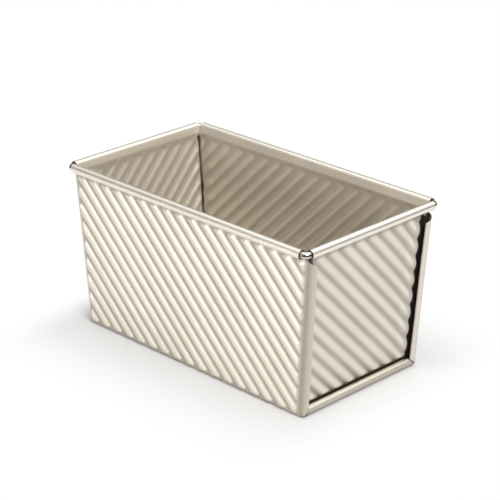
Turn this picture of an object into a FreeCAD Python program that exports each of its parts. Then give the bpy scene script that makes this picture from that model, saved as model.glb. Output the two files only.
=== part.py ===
import FreeCAD, Part
import math
import os

# Loaf pan of folded sheet steel, in millimetres. A trough makes the floor and both long walls, two
# end panels close it, and one wire runs round the mouth inside the rolled rim. The edges of the
# trough stand past the end panels and curl round the panels' flanges as three beads on each end.
# Origin: middle of the floor, on the table. +X runs along the length, +Z up.

Vec = FreeCAD.Vector

# Stock
SHEET = 0.6              # steel sheet of the trough and the end panels
WIRE_DIAMETER = 4.2      # round wire in the rim
WIRE_CLEARANCE = 0.2     # between the wire and the sheet rolled over it
SEAM_CLEARANCE = 0.1     # between the two sheets of a seam

# Body
PAN_HEIGHT = 110.0       # table to the top of the rim
FLOOR_WIDTH = 101.0      # over the long walls at table height
FLOOR_LENGTH = 192.2     # over the end beads at table height
SIDE_SLOPE = 1.0         # lean of the long walls, degrees
END_SLOPE = 4.5          # lean of the end panels, degrees
FLOOR_BEND = 1.6         # inside radius between floor and long wall

# End seams
BEAD_RADIUS = 3.0        # outside of the curled edge
BEAD_TURN = 150.0        # how far the trough's upright edges are curled, degrees
FLANGE_TURN = 135.0      # how far the panel's flanges are curled inside them, degrees
FOOT_BEAD_TURN = 190.0   # the same two along the floor
FOOT_FLANGE_TURN = 165.0
PANEL_RECESS = 6.0       # outer face of the panel behind the outermost line of the bead
FLANGE_BEND = 2.0        # inside radius between panel and flange
SEAM_DROP = 10.7         # middle of the slanted tops of the upright beads below the top of the rim
MITRE_GAP = 0.6          # open slit where two beads meet

# Rim
FLARE_ANGLE = 25.0       # outward lean of the sheet below the rim, degrees
FLARE_BEND = 2.0         # inside radius where the wall leans out
FLARE_LENGTH = 3.3       # straight sheet between that bend and the roll
RIM_TURN = 285.0         # how far the sheet is rolled round the wire, degrees
CORNER_RADIUS = 3.0      # bend of the wire at each corner, to its centre line
ROLL_SETBACK = 0.2       # the rolled edges stop this far before the bends of the wire

# Pressed ribs
RIB_PITCH = 7.95         # square across the ribs
RIB_WIDTH = 6.8
RIB_HEIGHT = 1.4
WALL_RIB_SHIFT = 2.15    # first rib of a long wall past the middle of its foot, square across the ribs
PANEL_RIB_SHIFT = 1.0    # the same on an end panel
RIB_SLANT = 45.0         # fall of the ribs to the right, seen from outside, degrees
RIB_END_SLOPE = 40.0     # slope of the rib ends, degrees
WALL_MARGIN_LEFT = 1.0   # plain sheet beside the ribs of a long wall, seen from outside
WALL_MARGIN_RIGHT = 2.0
PANEL_MARGIN = 2.6       # plain sheet beside the ribs of an end panel
RIB_MARGIN_TOP = 1.0     # plain sheet between the ribs and the flare
RIB_MARGIN_FLOOR = 1.0   # plain sheet between the ribs and the bend at the floor


def tangent(degrees):
    return math.tan(math.radians(degrees))


def sine(degrees):
    return math.sin(math.radians(degrees))


def cosine(degrees):
    return math.cos(math.radians(degrees))


# Thickness of the leaning sheets where a level plane cuts them
WALL_LEVEL = SHEET / cosine(SIDE_SLOPE)
PANEL_LEVEL = SHEET / cosine(END_SLOPE)

# Lines that the pieces share
SEAM_TOP = PAN_HEIGHT - SEAM_DROP
HALF_WIDTH = FLOOR_WIDTH / 2
BEAD_X = FLOOR_LENGTH / 2 - BEAD_RADIUS
PANEL_X = FLOOR_LENGTH / 2 - PANEL_RECESS
FLANGE_FACE = WALL_LEVEL + SEAM_CLEARANCE
FLANGE_REACH = FLANGE_FACE + PANEL_LEVEL + FLANGE_BEND
RIM_RADIUS = WIRE_DIAMETER / 2 + WIRE_CLEARANCE + SHEET
RIM_MIDDLE = RIM_RADIUS - SHEET / 2
RIM_Z = PAN_HEIGHT - RIM_RADIUS
FLOOR_MIDDLE = SHEET / 2
FLARE_MIDDLE = FLARE_BEND + SHEET / 2
FAR = 2 * (FLOOR_LENGTH + PAN_HEIGHT)


def bead_line(z):
    """Distance of the bead's centre line from the middle of the pan at height z."""
    return BEAD_X + z * tangent(END_SLOPE)


def panel_line(z):
    """Distance of the panel's outer face from the middle of the pan at height z."""
    return PANEL_X + z * tangent(END_SLOPE)


def wall_line(z):
    """Distance of the long wall's outer face from the middle of the pan at height z."""
    return HALF_WIDTH + z * tangent(SIDE_SLOPE)


class Rim:
    """Where a wall that leans by slope turns into its flare, and the rolled edge above it."""

    def __init__(self, middle_at_table, slope):
        lean = slope + FLARE_ANGLE
        self.corner_leg = FLARE_MIDDLE * tangent(FLARE_ANGLE / 2)
        leg = FLARE_LENGTH + self.corner_leg
        self.corner_z = RIM_Z + RIM_MIDDLE * sine(lean) - leg * cosine(lean)
        corner = middle_at_table + self.corner_z * tangent(slope)
        self.centre = corner + leg * sine(lean) + RIM_MIDDLE * cosine(lean)
        self.flare_z = self.corner_z - self.corner_leg * cosine(slope)


SIDE_RIM = Rim(HALF_WIDTH - WALL_LEVEL / 2, SIDE_SLOPE)
END_RIM = Rim(PANEL_X - PANEL_LEVEL / 2, END_SLOPE)
ROLL_END_X = END_RIM.centre - CORNER_RADIUS - ROLL_SETBACK
ROLL_END_Y = SIDE_RIM.centre - CORNER_RADIUS - ROLL_SETBACK


def across(y, z):
    """Point of a section across the pan."""
    return Vec(0, y, z)


def along(x, z):
    """Point of a section along the pan."""
    return Vec(x, 0, z)


def level(x, y):
    """Point of a section at table height."""
    return Vec(x, y, 0)


def polygon_face(place, points):
    corners = [place(*point) for point in points]
    return Part.Face(Part.makePolygon(corners + corners[:1]))


def strip_point(x, y, heading, size, turn, share, offset):
    """Point at a share of one move of a strip, offset to the left of the strip's middle line."""
    if not turn:
        reach = share * size
        return (
            x + reach * cosine(heading) - offset * sine(heading),
            y + reach * sine(heading) + offset * cosine(heading),
        )
    hand = math.copysign(1.0, turn)
    centre_x = x - hand * size * sine(heading)
    centre_y = y + hand * size * cosine(heading)
    reached = heading + share * turn
    radius = size * hand - offset
    return centre_x + radius * sine(reached), centre_y - radius * cosine(reached)


def strip_face(place, start, heading, moves, thickness):
    """Section of bent sheet: moves are (length, 0) for a run or (middle radius, turn) for a bend."""
    half = thickness / 2
    caps = [(strip_point(*start, heading, 0, 0, 0, half), strip_point(*start, heading, 0, 0, 0, -half))]
    edges = []
    x, y = start
    for size, turn in moves:
        for offset in (half, -half):
            shares = (0.0, 0.5, 1.0)
            points = [place(*strip_point(x, y, heading, size, turn, share, offset)) for share in shares]
            curve = Part.Arc(*points) if turn else Part.LineSegment(points[0], points[-1])
            edges.append(curve.toShape())
        x, y = strip_point(x, y, heading, size, turn, 1.0, 0.0)
        heading += turn
    caps.append((strip_point(x, y, heading, 0, 0, 0, half), strip_point(x, y, heading, 0, 0, 0, -half)))
    for near, far in caps:
        edges.append(Part.LineSegment(place(*near), place(*far)).toShape())
    return Part.Face(Part.Wire(Part.__sortEdges__(edges)))


def prism(face, direction, low, high):
    """Face moved along a unit direction from low to high."""
    moved = face.copy()
    moved.translate(direction * low)
    return moved.extrude(direction * (high - low))


def rim_moves(lead):
    """Moves up a wall: lead-in run, flare bend, flare and the roll round the wire, turning right."""
    return [(lead, 0), (FLARE_MIDDLE, -FLARE_ANGLE), (FLARE_LENGTH, 0), (RIM_MIDDLE, -RIM_TURN)]


def turned(shape):
    """The shape turned half round about the upright axis through the middle of the pan."""
    copy = shape.copy()
    copy.rotate(Vec(0, 0, 0), Vec(0, 0, 1), 180)
    return copy


def mirrored_across(shape):
    """The shape mirrored to the other long side."""
    return shape.mirror(Vec(0, 0, 0), Vec(0, 1, 0))


def joined(shapes):
    """One solid from shapes that meet."""
    return shapes[0].fuse(shapes[1:]).removeSplitter().Solids[0]


# Pressed ribs: straight bars with a round back, cut to a field with sloping ends

def inset_polygon(points, distance):
    """Anticlockwise polygon with every side moved inwards."""
    lines = []
    for (x0, y0), (x1, y1) in zip(points, points[1:] + points[:1]):
        length = math.hypot(x1 - x0, y1 - y0)
        normal = (-(y1 - y0) / length, (x1 - x0) / length)
        lines.append((normal, normal[0] * x0 + normal[1] * y0 + distance))
    result = []
    for (n0, d0), (n1, d1) in zip(lines[-1:] + lines[:-1], lines):
        det = n0[0] * n1[1] - n0[1] * n1[0]
        result.append(((d0 * n1[1] - d1 * n0[1]) / det, (n0[0] * d1 - n1[0] * d0) / det))
    return result


def field_solid(points, low, high):
    """Field of ribs between two heights, with its sides leaning in at the slope of the rib ends."""
    lean = 1.0 / tangent(RIB_END_SLOPE)
    rings = []
    for height in (low, high):
        rings.append([Vec(x, y, height) for x, y in inset_polygon(points, height * lean)])
    faces = [Part.Face(Part.makePolygon(ring + ring[:1])) for ring in rings]
    count = len(points)
    for i in range(count):
        j = (i + 1) % count
        quad = [rings[0][i], rings[0][j], rings[1][j], rings[1][i], rings[0][i]]
        faces.append(Part.Face(Part.makePolygon(quad)))
    return Part.Solid(Part.Shell(faces))


def rib_bars(points, shift, back_radius, low):
    """Round-backed bars side by side over the field, from a height low up to their backs."""
    centre_z = RIB_HEIGHT - (RIB_WIDTH ** 2 / 4 + RIB_HEIGHT ** 2) / (2 * RIB_HEIGHT)
    half = math.sqrt(back_radius ** 2 - (low - centre_z) ** 2)
    back = Part.Arc(
        Vec(0, half, low), Vec(0, 0, centre_z + back_radius), Vec(0, -half, low)
    ).toShape()
    chord = Part.LineSegment(Vec(0, -half, low), Vec(0, half, low)).toShape()
    section = Part.Face(Part.Wire([back, chord]))
    length = 2 * max(math.hypot(x, y) for x, y in points)
    bar = prism(section, Vec(1, 0, 0), -length, length)
    bar.rotate(Vec(0, 0, 0), Vec(0, 0, 1), -RIB_SLANT)
    square = (sine(RIB_SLANT), cosine(RIB_SLANT))
    reaches = [x * square[0] + y * square[1] - shift for x, y in points]
    bars = []
    for step in range(math.ceil(min(reaches) / RIB_PITCH), math.floor(max(reaches) / RIB_PITCH) + 1):
        copy = bar.copy()
        copy.translate(Vec(square[0], square[1], 0) * (shift + step * RIB_PITCH))
        bars.append(copy)
    return bars


def press_ribs(sheet, points, shift, placement):
    """Sheet with ribs pushed outwards over a field on its outer face."""
    radius = (RIB_WIDTH ** 2 / 4 + RIB_HEIGHT ** 2) / (2 * RIB_HEIGHT)
    sink = SHEET / 2
    crown = field_solid(points, -sink, RIB_HEIGHT + sink)
    hollow = field_solid(points, -sink, RIB_HEIGHT + sink)
    hollow.translate(Vec(0, 0, -SHEET))
    outside = [bar.common(crown) for bar in rib_bars(points, shift, radius, -sink)]
    inside = [bar.common(hollow) for bar in rib_bars(points, shift, radius - SHEET, -SHEET - sink)]
    for solids in (outside, inside):
        for solid in solids:
            solid.Placement = placement.multiply(solid.Placement)
    pressed = sheet.fuse([solid for solid in outside if solid.Solids])
    return pressed.cut([solid for solid in inside if solid.Solids]).removeSplitter().Solids[0]


def wall_placement(origin, rightwards, slope):
    """Frame on the outer face of a wall: X to the right seen from outside, Y up the wall, Z out."""
    outwards = rightwards.cross(Vec(0, 0, 1))
    upwards = Vec(0, 0, 1) * cosine(slope) + outwards * sine(slope)
    return FreeCAD.Placement(
        origin, FreeCAD.Rotation(rightwards, upwards, rightwards.cross(upwards), "XYZ")
    )


# Trough: floor and long walls bent from one blank

def trough_channel():
    """Floor, long walls and their rolled edges, ending where the beads begin."""
    turn = 90.0 - SIDE_SLOPE
    bend = FLOOR_BEND + SHEET / 2
    leg = bend * tangent(turn / 2)
    corner_y = HALF_WIDTH - WALL_LEVEL / 2 + FLOOR_MIDDLE * tangent(SIDE_SLOPE)
    wall_run = (SIDE_RIM.corner_z - FLOOR_MIDDLE) / cosine(SIDE_SLOPE) - leg - SIDE_RIM.corner_leg
    moves = [(corner_y - leg, 0), (bend, turn)] + rim_moves(wall_run)
    half = prism(strip_face(across, (0, FLOOR_MIDDLE), 0, moves, SHEET), Vec(1, 0, 0), -FAR, FAR)
    low = -BEAD_RADIUS
    shoulder = SEAM_TOP + BEAD_RADIUS
    outline = [
        (bead_line(low), low),
        (bead_line(shoulder), shoulder),
        (ROLL_END_X, shoulder),
        (ROLL_END_X, PAN_HEIGHT + BEAD_RADIUS),
    ]
    outline += [(-x, z) for x, z in reversed(outline)]
    blank = prism(polygon_face(along, outline), Vec(0, 1, 0), -FAR, FAR)
    half = half.common(blank)
    return joined([half, mirrored_across(half)])


def mitre_side(gap):
    """Space for an upright bead on the +Y side: above the mitre, below a top that falls inwards."""
    middle = wall_line(SEAM_TOP) - BEAD_RADIUS
    outer = HALF_WIDTH + PANEL_RECESS
    inner = HALF_WIDTH - 2 * PANEL_RECESS
    outline = [
        (outer, gap - PANEL_RECESS),
        (outer, SEAM_TOP + outer - middle),
        (inner, SEAM_TOP + inner - middle),
        (inner, gap + 2 * PANEL_RECESS),
    ]
    return prism(polygon_face(across, outline), Vec(1, 0, 0), 0, FAR)


def mitre_floor(gap):
    """Space that a bead along the floor may fill: between the two mitres."""
    high = 2 * PANEL_RECESS
    outline = [
        (HALF_WIDTH - gap + PANEL_RECESS, -PANEL_RECESS),
        (HALF_WIDTH - gap - high, high),
        (high + gap - HALF_WIDTH, high),
        (gap - HALF_WIDTH - PANEL_RECESS, -PANEL_RECESS),
    ]
    return prism(polygon_face(across, outline), Vec(1, 0, 0), 0, FAR)


def upright(face):
    """Level section carried up the seam of the +Y wall, along the lean of both walls."""
    return face.extrude(Vec(tangent(END_SLOPE), tangent(SIDE_SLOPE), 1) * PAN_HEIGHT)


def trough_beads():
    """The three curled edges at the +X end."""
    side_middle = BEAD_RADIUS - WALL_LEVEL / 2
    side = strip_face(
        level, (BEAD_X, HALF_WIDTH - WALL_LEVEL / 2), 0, [(side_middle, -BEAD_TURN)], WALL_LEVEL
    )
    side = upright(side).common(mitre_side(MITRE_GAP / 2))
    floor_middle = BEAD_RADIUS - FLOOR_MIDDLE
    floor = strip_face(along, (BEAD_X, FLOOR_MIDDLE), 0, [(floor_middle, FOOT_BEAD_TURN)], SHEET)
    floor = prism(floor, Vec(0, 1, 0), -HALF_WIDTH, HALF_WIDTH).common(mitre_floor(MITRE_GAP / 2))
    return [side, mirrored_across(side), floor]


def wall_field():
    """Corners of the ribbed field of a long wall, in the frame of its outer face."""
    low = FLOOR_BEND + SHEET + RIB_MARGIN_FLOOR
    high = SIDE_RIM.flare_z - RIB_MARGIN_TOP
    rise = 1.0 / cosine(SIDE_SLOPE)
    return [
        (WALL_MARGIN_LEFT - bead_line(low), low * rise),
        (bead_line(low) - WALL_MARGIN_RIGHT, low * rise),
        (bead_line(high) - WALL_MARGIN_RIGHT, high * rise),
        (WALL_MARGIN_LEFT - bead_line(high), high * rise),
    ]


def make_trough():
    beads = trough_beads()
    trough = joined([trough_channel()] + beads + [turned(bead) for bead in beads])
    for side in (-1, 1):
        frame = wall_placement(Vec(0, side * HALF_WIDTH, 0), Vec(-side, 0, 0), SIDE_SLOPE)
        trough = press_ribs(trough, wall_field(), WALL_RIB_SHIFT, frame)
    return trough


# End panel: flat ribbed sheet with three flanges nested in the beads and a rolled top edge

def panel_sheet():
    """Flat sheet of the panel, with a tab in each floor corner that closes the trough's bend."""
    bottom = FLANGE_FACE + SHEET + FLANGE_BEND + SHEET
    tab_inner = HALF_WIDTH - FLOOR_BEND - 2 * FLANGE_REACH
    tab_top = FLOOR_BEND + 2 * FLANGE_REACH
    floor_top = SHEET + SEAM_CLEARANCE
    bend = FLOOR_BEND - SEAM_CLEARANCE
    bend_y = HALF_WIDTH - WALL_LEVEL - FLOOR_BEND
    bend_z = SHEET + FLOOR_BEND
    half = [
        (tab_inner, bottom),
        (tab_inner, floor_top),
        (bend_y, floor_top),
        (bend_y + bend * sine(45), bend_z - bend * cosine(45)),
        (bend_y + bend, bend_z),
        (wall_line(tab_top) - FLANGE_FACE, tab_top),
        (wall_line(tab_top) - FLANGE_REACH, tab_top),
        (wall_line(END_RIM.flare_z) - FLANGE_REACH, END_RIM.flare_z),
    ]
    outline = half + [(-y, z) for y, z in reversed(half)]
    body = prism(polygon_face(across, outline), Vec(1, 0, 0), 0, FAR)
    slab_corners = [
        (panel_line(0) - PANEL_LEVEL, 0),
        (panel_line(0), 0),
        (panel_line(PAN_HEIGHT), PAN_HEIGHT),
        (panel_line(PAN_HEIGHT) - PANEL_LEVEL, PAN_HEIGHT),
    ]
    return body.common(prism(polygon_face(along, slab_corners), Vec(0, 1, 0), -FAR, FAR))


def panel_flanges():
    """Flanges at the two sides and the floor, curled inside the beads of the trough."""
    bend = FLANGE_BEND + PANEL_LEVEL / 2
    curl = BEAD_RADIUS - FLANGE_FACE - PANEL_LEVEL / 2
    start = (PANEL_X - PANEL_LEVEL / 2, HALF_WIDTH - FLANGE_REACH)
    run = BEAD_X - start[0] - bend
    side = strip_face(level, start, 90, [(bend, -90), (run, 0), (curl, -FLANGE_TURN)], PANEL_LEVEL)
    mitre = FLOOR_BEND + SHEET
    side = upright(side).common(mitre_side(mitre))

    bend = FLANGE_BEND + SHEET / 2
    turn = 90.0 + END_SLOPE
    leg = bend * tangent(turn / 2)
    flange_z = SHEET + SEAM_CLEARANCE + SHEET / 2
    corner_x = panel_line(flange_z) - PANEL_LEVEL / 2
    lead = 2 * SHEET
    reach = leg + lead
    start = (corner_x + reach * sine(END_SLOPE), flange_z + reach * cosine(END_SLOPE))
    curl = BEAD_RADIUS - flange_z
    run = BEAD_X - corner_x - leg
    moves = [(lead, 0), (bend, turn), (run, 0), (curl, FOOT_FLANGE_TURN)]
    floor = strip_face(along, start, -turn, moves, SHEET)
    floor = prism(floor, Vec(0, 1, 0), -HALF_WIDTH, HALF_WIDTH).common(mitre_floor(mitre))
    return [side, mirrored_across(side), floor]


def panel_rim():
    """Flare and roll along the top edge of the panel, trimmed to clear the flares of the long walls."""
    lead = 2 * SHEET
    below = END_RIM.corner_leg + lead
    start_z = END_RIM.corner_z - below * cosine(END_SLOPE)
    start = (panel_line(start_z) - PANEL_LEVEL / 2, start_z)
    face = strip_face(along, start, 90 - END_SLOPE, rim_moves(lead), SHEET)
    rim = prism(face, Vec(0, 1, 0), -ROLL_END_Y, ROLL_END_Y)
    foot = min(wall_line(END_RIM.corner_z) - FLANGE_FACE - SEAM_CLEARANCE, ROLL_END_Y)
    beyond = HALF_WIDTH + PAN_HEIGHT
    outline = [
        (foot, 0),
        (beyond, 0),
        (beyond, RIM_Z + SHEET),
        (ROLL_END_Y, RIM_Z + SHEET),
        (foot, END_RIM.corner_z),
    ]
    trim = prism(polygon_face(across, outline), Vec(1, 0, 0), 0, END_RIM.centre)
    return rim.cut([trim, mirrored_across(trim)])


def panel_field():
    """Corners of the ribbed field of an end panel, in the frame of its outer face."""
    low = FLANGE_FACE + SHEET + FLANGE_BEND + RIB_MARGIN_FLOOR
    high = END_RIM.flare_z - RIB_MARGIN_TOP
    rise = 1.0 / cosine(END_SLOPE)
    corners = []
    for side, z in ((-1, low), (1, low), (1, high), (-1, high)):
        corners.append((side * (wall_line(z) - FLANGE_REACH - PANEL_MARGIN), z * rise))
    return corners


def make_panel():
    """The end panel at the +X end."""
    panel = joined([panel_sheet()] + panel_flanges() + [panel_rim()])
    frame = wall_placement(Vec(PANEL_X, 0, 0), Vec(0, 1, 0), END_SLOPE)
    return press_ribs(panel, panel_field(), PANEL_RIB_SHIFT, frame)


# Rim wire: one closed loop, straight along the sides and bent at the corners

def make_wire():
    reach_x = END_RIM.centre
    reach_y = SIDE_RIM.centre
    straight_x = reach_x - CORNER_RADIUS
    straight_y = reach_y - CORNER_RADIUS
    bend = CORNER_RADIUS * cosine(45)
    edges = []
    for turn in (0, 180):
        side = Part.LineSegment(Vec(reach_x, -straight_y, RIM_Z), Vec(reach_x, straight_y, RIM_Z))
        first = Part.Arc(
            Vec(reach_x, straight_y, RIM_Z),
            Vec(straight_x + bend, straight_y + bend, RIM_Z),
            Vec(straight_x, reach_y, RIM_Z),
        )
        back = Part.LineSegment(Vec(straight_x, reach_y, RIM_Z), Vec(-straight_x, reach_y, RIM_Z))
        second = Part.Arc(
            Vec(-straight_x, reach_y, RIM_Z),
            Vec(-straight_x - bend, straight_y + bend, RIM_Z),
            Vec(-reach_x, straight_y, RIM_Z),
        )
        for curve in (side, first, back, second):
            edge = curve.toShape()
            edge.rotate(Vec(0, 0, 0), Vec(0, 0, 1), turn)
            edges.append(edge)
    radius = WIRE_DIAMETER / 2
    lengths = []
    for edge in edges:
        start = edge.Vertexes[0].Point
        heading = edge.tangentAt(edge.FirstParameter)
        section = Part.Face(Part.Wire(Part.makeCircle(radius, start, heading)))
        if isinstance(edge.Curve, Part.Circle):
            lengths.append(section.revolve(edge.Curve.Center, Vec(0, 0, 1), 90))
        else:
            lengths.append(section.extrude(heading * edge.Length))
    return joined(lengths)


os.makedirs("parts", exist_ok=True)
right_panel = make_panel()
pieces = {
    "trough": make_trough(),
    "end_panel_right": right_panel,
    "end_panel_left": turned(right_panel),
    "rim_wire": make_wire(),
}
for name, shape in pieces.items():
    print(name, shape.ShapeType, len(shape.Solids), shape.isValid(), round(shape.Volume, 1))
    shape.exportStep("parts/" + name + ".step")
print("rim", round(2 * (END_RIM.centre + RIM_RADIUS), 2), round(2 * (SIDE_RIM.centre + RIM_RADIUS), 2))
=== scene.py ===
# %% [markdown]
# # A loaf pan of folded, ribbed sheet steel
# The pan is four pieces on the bench: a trough that is floor and long walls in one, two end panels, and a
# wire inside the rolled rim. The CAD model gives their places and sizes, and nothing here moves them.
# This lesson bends each sheet again as a fine mesh, so that ribs, rolled edges and curled seams catch the
# light as they do on the real tin.

# %% Load the frame
import math
import bpy
import numpy as np
from mathutils import Matrix, Vector


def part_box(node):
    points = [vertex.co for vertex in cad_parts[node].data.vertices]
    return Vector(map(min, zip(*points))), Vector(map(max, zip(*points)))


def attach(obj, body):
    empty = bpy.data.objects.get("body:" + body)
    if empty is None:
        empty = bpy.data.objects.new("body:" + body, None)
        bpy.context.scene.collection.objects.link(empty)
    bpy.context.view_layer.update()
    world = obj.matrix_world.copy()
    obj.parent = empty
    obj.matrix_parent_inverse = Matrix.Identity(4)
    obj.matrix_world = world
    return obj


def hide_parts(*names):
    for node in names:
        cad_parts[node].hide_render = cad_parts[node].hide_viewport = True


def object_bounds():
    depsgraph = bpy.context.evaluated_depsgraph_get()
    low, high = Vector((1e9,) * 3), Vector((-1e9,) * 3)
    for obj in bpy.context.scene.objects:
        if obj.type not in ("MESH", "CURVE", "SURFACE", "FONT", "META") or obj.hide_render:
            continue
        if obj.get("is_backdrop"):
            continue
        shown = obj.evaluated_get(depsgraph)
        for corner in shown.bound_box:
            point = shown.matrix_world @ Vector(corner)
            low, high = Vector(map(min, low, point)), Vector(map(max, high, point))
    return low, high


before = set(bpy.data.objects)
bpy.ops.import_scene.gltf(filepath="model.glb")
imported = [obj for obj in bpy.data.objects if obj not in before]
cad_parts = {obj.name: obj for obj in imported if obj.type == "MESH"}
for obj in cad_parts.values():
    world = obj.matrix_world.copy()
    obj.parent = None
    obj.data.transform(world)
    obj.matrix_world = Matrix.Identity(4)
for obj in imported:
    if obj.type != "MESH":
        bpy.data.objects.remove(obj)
cad_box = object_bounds()
print("solids in the frame:", sorted(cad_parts))

# %% [markdown]
# ## Sizes
# The wire's box gives the centre line of the rim, because the sheet is rolled round that wire. The stock
# sizes and the lean of the walls are the ones that the solids were made with. All lengths are in metres.

# %% Driving sizes
MM = 0.001
SHEET = 0.6 * MM
SEAM_CLEARANCE = 0.1 * MM
FLOOR_WIDTH = 101.0 * MM
FLOOR_LENGTH = 192.2 * MM
SIDE_SLOPE = math.radians(1.0)
END_SLOPE = math.radians(4.5)
FLOOR_BEND = 1.6 * MM
BEAD_RADIUS = 3.0 * MM
BEAD_TURN = math.radians(150.0)
FLANGE_TURN = math.radians(135.0)
FOOT_BEAD_TURN = math.radians(190.0)
FOOT_FLANGE_TURN = math.radians(165.0)
PANEL_RECESS = 6.0 * MM
FLANGE_BEND = 2.0 * MM
SEAM_DROP = 10.7 * MM
MITRE_GAP = 1.2 * MM
FLARE_ANGLE = math.radians(25.0)
FLARE_BEND = 2.0 * MM
FLARE_LENGTH = 3.3 * MM
RIM_TURN = math.radians(285.0)
CORNER_RADIUS = 3.0 * MM
ROLL_SETBACK = 0.2 * MM

wire_low, wire_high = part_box("rim_wire")
WIRE_RADIUS = (wire_high.z - wire_low.z) / 2
RIM_Z = (wire_high.z + wire_low.z) / 2
RIM_X = wire_high.x - WIRE_RADIUS
RIM_Y = wire_high.y - WIRE_RADIUS
PAN_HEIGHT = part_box("trough")[1].z
RIM_MIDDLE = PAN_HEIGHT - RIM_Z - SHEET / 2
print("rim centre line", round(RIM_X / MM, 2), round(RIM_Y / MM, 2), round(RIM_Z / MM, 2), "mm")

# %% Lines that the sheets share
WALL_LEVEL = SHEET / math.cos(SIDE_SLOPE)
PANEL_LEVEL = SHEET / math.cos(END_SLOPE)
SHOULDER = PAN_HEIGHT - SEAM_DROP + BEAD_RADIUS
HALF_WIDTH = FLOOR_WIDTH / 2
BEAD_X = FLOOR_LENGTH / 2 - BEAD_RADIUS
PANEL_X = FLOOR_LENGTH / 2 - PANEL_RECESS
FLANGE_FACE = WALL_LEVEL + SEAM_CLEARANCE
FLANGE_REACH = FLANGE_FACE + PANEL_LEVEL + FLANGE_BEND
ROLL_END_X = RIM_X - CORNER_RADIUS - ROLL_SETBACK
ROLL_END_Y = RIM_Y - CORNER_RADIUS - ROLL_SETBACK


def bead_line(z):
    """Distance of the upright beads' centre line from the middle of the pan at height z."""
    return BEAD_X + z * math.tan(END_SLOPE)


def wall_middle(z):
    """Distance of the middle of a long wall's sheet from the middle of the pan at height z."""
    return HALF_WIDTH - WALL_LEVEL / 2 + z * math.tan(SIDE_SLOPE)


def panel_middle(z):
    """Distance of the middle of an end panel's sheet from the middle of the pan at height z."""
    return PANEL_X - PANEL_LEVEL / 2 + z * math.tan(END_SLOPE)


print("seams end at height", round(SHOULDER / MM, 1), "mm")
print("rolls end at", round(ROLL_END_X / MM, 1), round(ROLL_END_Y / MM, 1), "mm")

# %% [markdown]
# ## Camera
# The photograph is a long-lens view of one corner. Its angle, distance and lens come from lining up the
# rim, the seams and the floor edges. A Track To constraint would aim a camera more simply, but it keeps
# the picture level. This camera is built from its own three axes, so that a small roll can be kept.

# %% Camera
VIEW_TURN = math.radians(45.29)
VIEW_RISE = math.radians(22.83)
VIEW_ROLL = math.radians(-0.20)
VIEW_TARGET = Vector((0.0, 0.0, 0.055))
VIEW_DISTANCE = 1.15315
VIEW_SIDEWAYS = 0.916 * MM
VIEW_UPWARDS = 8.226 * MM
LENS_MM = 133.2
SENSOR_MM = 36.0
CLIP_START = 10.0 * MM


def make_camera():
    """Camera that looks along its back axis, with its roll kept."""
    back = Vector((
        math.sin(VIEW_TURN) * math.cos(VIEW_RISE),
        -math.cos(VIEW_TURN) * math.cos(VIEW_RISE),
        math.sin(VIEW_RISE),
    ))
    level_right = Vector((math.cos(VIEW_TURN), math.sin(VIEW_TURN), 0.0))
    level_up = back.cross(level_right)
    right = level_right * math.cos(VIEW_ROLL) + level_up * math.sin(VIEW_ROLL)
    up = level_up * math.cos(VIEW_ROLL) - level_right * math.sin(VIEW_ROLL)
    place = VIEW_TARGET + back * VIEW_DISTANCE + right * VIEW_SIDEWAYS + up * VIEW_UPWARDS
    data = bpy.data.cameras.new("photo_view")
    data.lens = LENS_MM
    data.sensor_width = SENSOR_MM
    data.clip_start = CLIP_START
    camera = bpy.data.objects.new("photo_view", data)
    turn = Matrix((right, up, back)).transposed()
    camera.matrix_world = Matrix.Translation(place) @ turn.to_4x4()
    bpy.context.scene.collection.objects.link(camera)
    bpy.context.scene.camera = camera
    return camera


camera = make_camera()
print("camera at", [round(c, 4) for c in camera.matrix_world.translation])

# %% [markdown]
# ## Node expressions
# Both kinds of tree used here, geometry and shader, do their sums with Math nodes. A small wrapper round
# a socket lets those sums be written as ordinary Python, and one method makes every other node.

# %% A socket that can be used in sums
class Socket:
    """An output socket of a node tree that takes part in Python expressions."""

    def __init__(self, tree, socket):
        self.tree = tree
        self.socket = socket

    def math(self, operation, *others):
        return node(self.tree, "ShaderNodeMath", {"operation": operation}, [self, *others])

    def __add__(self, other):
        return self.math("ADD", other)

    __radd__ = __add__

    def __mul__(self, other):
        return self.math("MULTIPLY", other)

    __rmul__ = __mul__

    def __sub__(self, other):
        return self.math("SUBTRACT", other)

    def __rsub__(self, other):
        return node(self.tree, "ShaderNodeMath", {"operation": "SUBTRACT"}, [other, self])

    def __truediv__(self, other):
        return self.math("DIVIDE", other)

    def __rtruediv__(self, other):
        return node(self.tree, "ShaderNodeMath", {"operation": "DIVIDE"}, [other, self])

    def __pow__(self, other):
        return self.math("POWER", other)

    def __rpow__(self, other):
        return node(self.tree, "ShaderNodeMath", {"operation": "POWER"}, [other, self])


print("socket wrapper ready")


# %% One call for every other node
def node(tree, kind, settings=None, inputs=None, output=0):
    """Add one node: settings first, then the values or links of its sockets. Returns one of its outputs."""
    made = tree.nodes.new(kind)
    for name, value in (settings or {}).items():
        setattr(made, name, value)
    pairs = inputs.items() if isinstance(inputs, dict) else enumerate(inputs or [])
    for key, value in pairs:
        if isinstance(value, Socket):
            tree.links.new(value.socket, made.inputs[key])
        elif value is not None:
            made.inputs[key].default_value = value
    return Socket(tree, made.outputs[output])


print("node maker ready")

# %% [markdown]
# ## Bent sheet
# Sheet metal keeps its thickness, so every section is a middle line of straight runs and round bends.
# Bevelled edges could look alike from afar. Here one short list of moves draws each section, and the same
# function serves the roll of the rim, the bends at the floor and the curled beads.

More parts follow.
